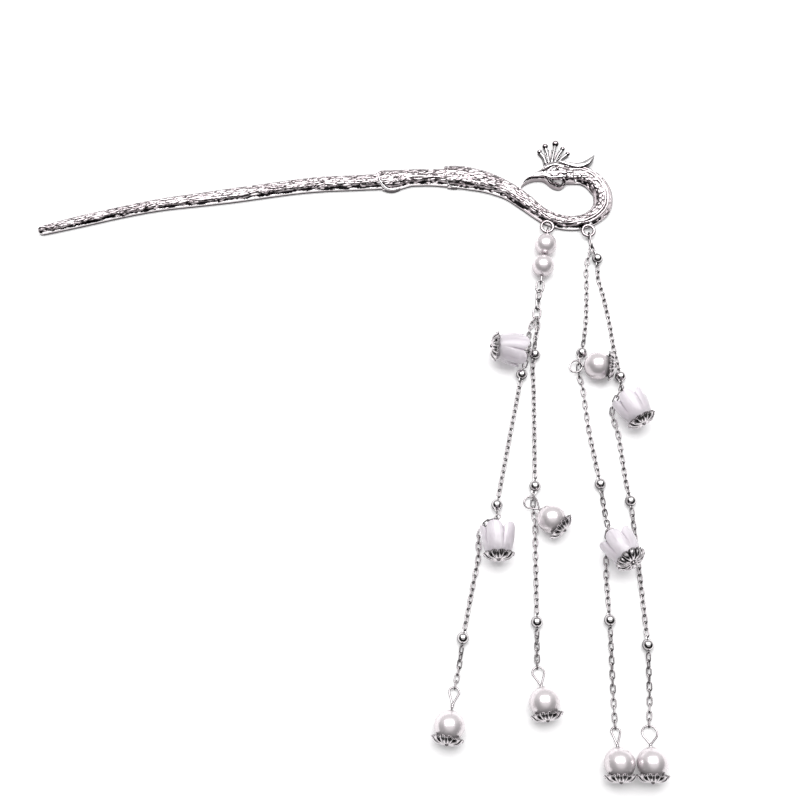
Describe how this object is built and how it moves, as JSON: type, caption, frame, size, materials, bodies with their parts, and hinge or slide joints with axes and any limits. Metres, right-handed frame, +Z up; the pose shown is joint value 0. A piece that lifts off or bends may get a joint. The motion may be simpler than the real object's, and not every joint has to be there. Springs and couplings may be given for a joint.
{
  "type": "buyao hairpin",
  "caption": "Cast silver hair stick that curls into a phoenix head, with hanging chain strands of metal balls, pearls under flower caps and glass bellflowers, laid flat.",
  "frame": {"origin": "on the surface the hairpin lies on, under the middle of its bounding box", "axes": "+Z up from the surface, +X from the stick's tip towards the phoenix head, +Y from the strands' ends towards the stick"},
  "size_m": [0.1784, 0.1876, 0.0122],
  "materials": {
    "cast_silver": "bright silver plate over cast bark relief",
    "chain_silver": "bright silver plate",
    "polished_ball": "mirror polished",
    "cap_silver": "silver plate, pierced filigree",
    "pin_wire": "bright silver wire",
    "pearl": "pearl lustre",
    "frosted_glass": "pale frosted glass"
  },
  "bodies": {
    "root": {"hairpin": "cast_silver", "eye_pin": "pin_wire", "small_pearl_1": "pearl", "small_pearl_2": "pearl", "large_links": "chain_silver", "eyelet_ring": "chain_silver", "chain_a": "chain_silver", "chain_b": "chain_silver", "chain_c": "chain_silver", "chain_d": "chain_silver", "ball_a1": "polished_ball", "ball_a2": "polished_ball", "ball_a3": "polished_ball", "ball_b1": "polished_ball", "ball_b2": "polished_ball", "ball_b3": "polished_ball", "ball_c1": "polished_ball", "ball_c2": "polished_ball", "ball_c3": "polished_ball", "ball_d1": "polished_ball", "ball_d2": "polished_ball", "ball_d3": "polished_ball", "ball_d4": "polished_ball", "pearl_a": "pearl", "pearl_b": "pearl", "pearl_c": "pearl", "pearl_d": "pearl", "pearl_side_b": "pearl", "pearl_side_c": "pearl", "bell_1": "frosted_glass", "bell_2": "frosted_glass", "bell_3": "frosted_glass", "bell_4": "frosted_glass", "cap_a": "cap_silver", "cap_b": "cap_silver", "cap_c": "cap_silver", "cap_d": "cap_silver", "cap_side_b": "cap_silver", "cap_side_c": "cap_silver", "cap_bell_1": "cap_silver", "cap_bell_2": "cap_silver", "cap_bell_3": "cap_silver", "cap_bell_4": "cap_silver", "pin_a": "pin_wire", "pin_b": "pin_wire", "pin_c": "pin_wire", "pin_d": "pin_wire", "pin_side_b": "pin_wire", "pin_side_c": "pin_wire", "pin_bell_1": "pin_wire", "pin_bell_2": "pin_wire", "pin_bell_3": "pin_wire", "pin_bell_4": "pin_wire"}
  },
  "joints": []
}
